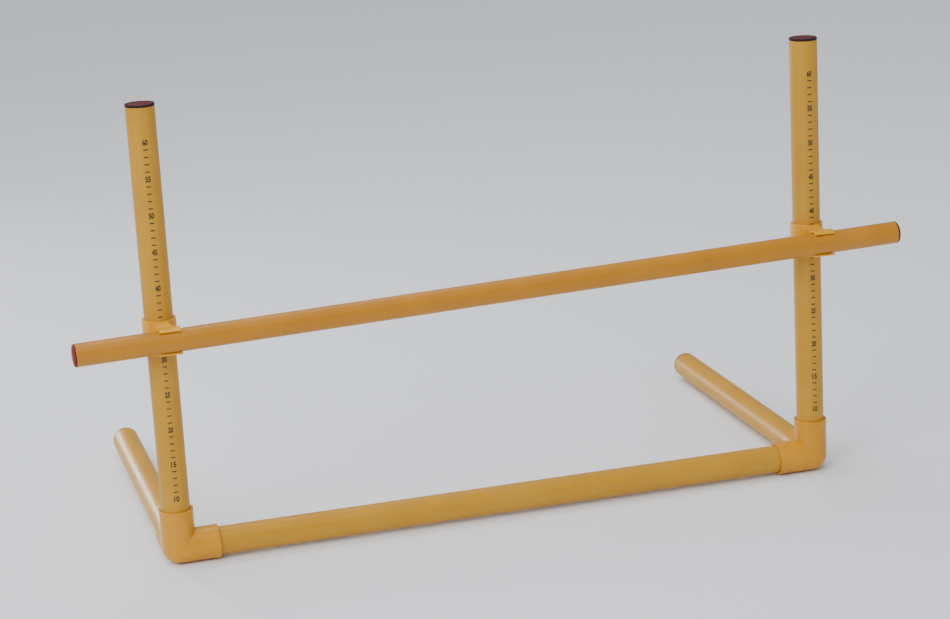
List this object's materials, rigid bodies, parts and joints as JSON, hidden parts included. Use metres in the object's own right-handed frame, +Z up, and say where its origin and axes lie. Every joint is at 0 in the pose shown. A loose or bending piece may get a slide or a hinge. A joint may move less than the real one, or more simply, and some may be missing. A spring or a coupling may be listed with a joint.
{
  "type": "adjustable training hurdle",
  "caption": "Free-standing training hurdle of push-fit plastic tube, with a crossbar in clips that slide up and down scaled uprights.",
  "frame": {"origin": "on the floor at the centre of the footprint, crossbar side towards -Y", "axes": "+Z up, +X along the base tube from the left upright to the right one, +Y along the legs"},
  "size_m": [1.2004, 0.5824, 0.65],
  "materials": {
    "ochre_tube": "satin ochre-yellow extruded tube",
    "crossbar_tube": "satin brown-ochre extruded tube",
    "orange_fitting": "satin orange-yellow moulded fitting",
    "yellow_clip": "satin bright yellow moulded clip",
    "maroon_plug": "matt dark red moulded plug",
    "scale_ink": "matt black printed scale"
  },
  "bodies": {
    "frame": {"base_tube": "ochre_tube", "left_corner_elbow": "orange_fitting", "right_corner_elbow": "orange_fitting", "left_leg_tube": "ochre_tube", "right_leg_tube": "ochre_tube", "left_leg_plug": "maroon_plug", "right_leg_plug": "maroon_plug", "left_upright_tube": "ochre_tube", "right_upright_tube": "ochre_tube", "left_upright_plug": "maroon_plug", "right_upright_plug": "maroon_plug"},
    "left_clip": {"left_clip": "yellow_clip"},
    "right_clip": {"right_clip": "yellow_clip"},
    "crossbar": {"crossbar_tube": "crossbar_tube", "crossbar_left_plug": "maroon_plug", "crossbar_right_plug": "maroon_plug"}
  },
  "joints": [
    {"name": "crossbar_height", "type": "slide", "parent": "frame", "child": "left_clip", "axis": [0, 0, 1], "range_m": [-0.198, 0.264]},
    {"name": "crossbar_tilt", "type": "hinge", "parent": "left_clip", "child": "crossbar", "pos_m": [-0.468, -0.27525, 0.3305], "axis": [0, 1, 0], "range_deg": [0, 3.01]},
    {"name": "right_clip_height", "type": "slide", "parent": "left_clip", "child": "right_clip", "axis": [0, 0, 1], "range_m": [-0.0505, 0]}
  ],
  "couplings": [
    {"joint": "right_clip_height", "follows": "crossbar_tilt", "m_per_rad": -0.952}
  ]
}
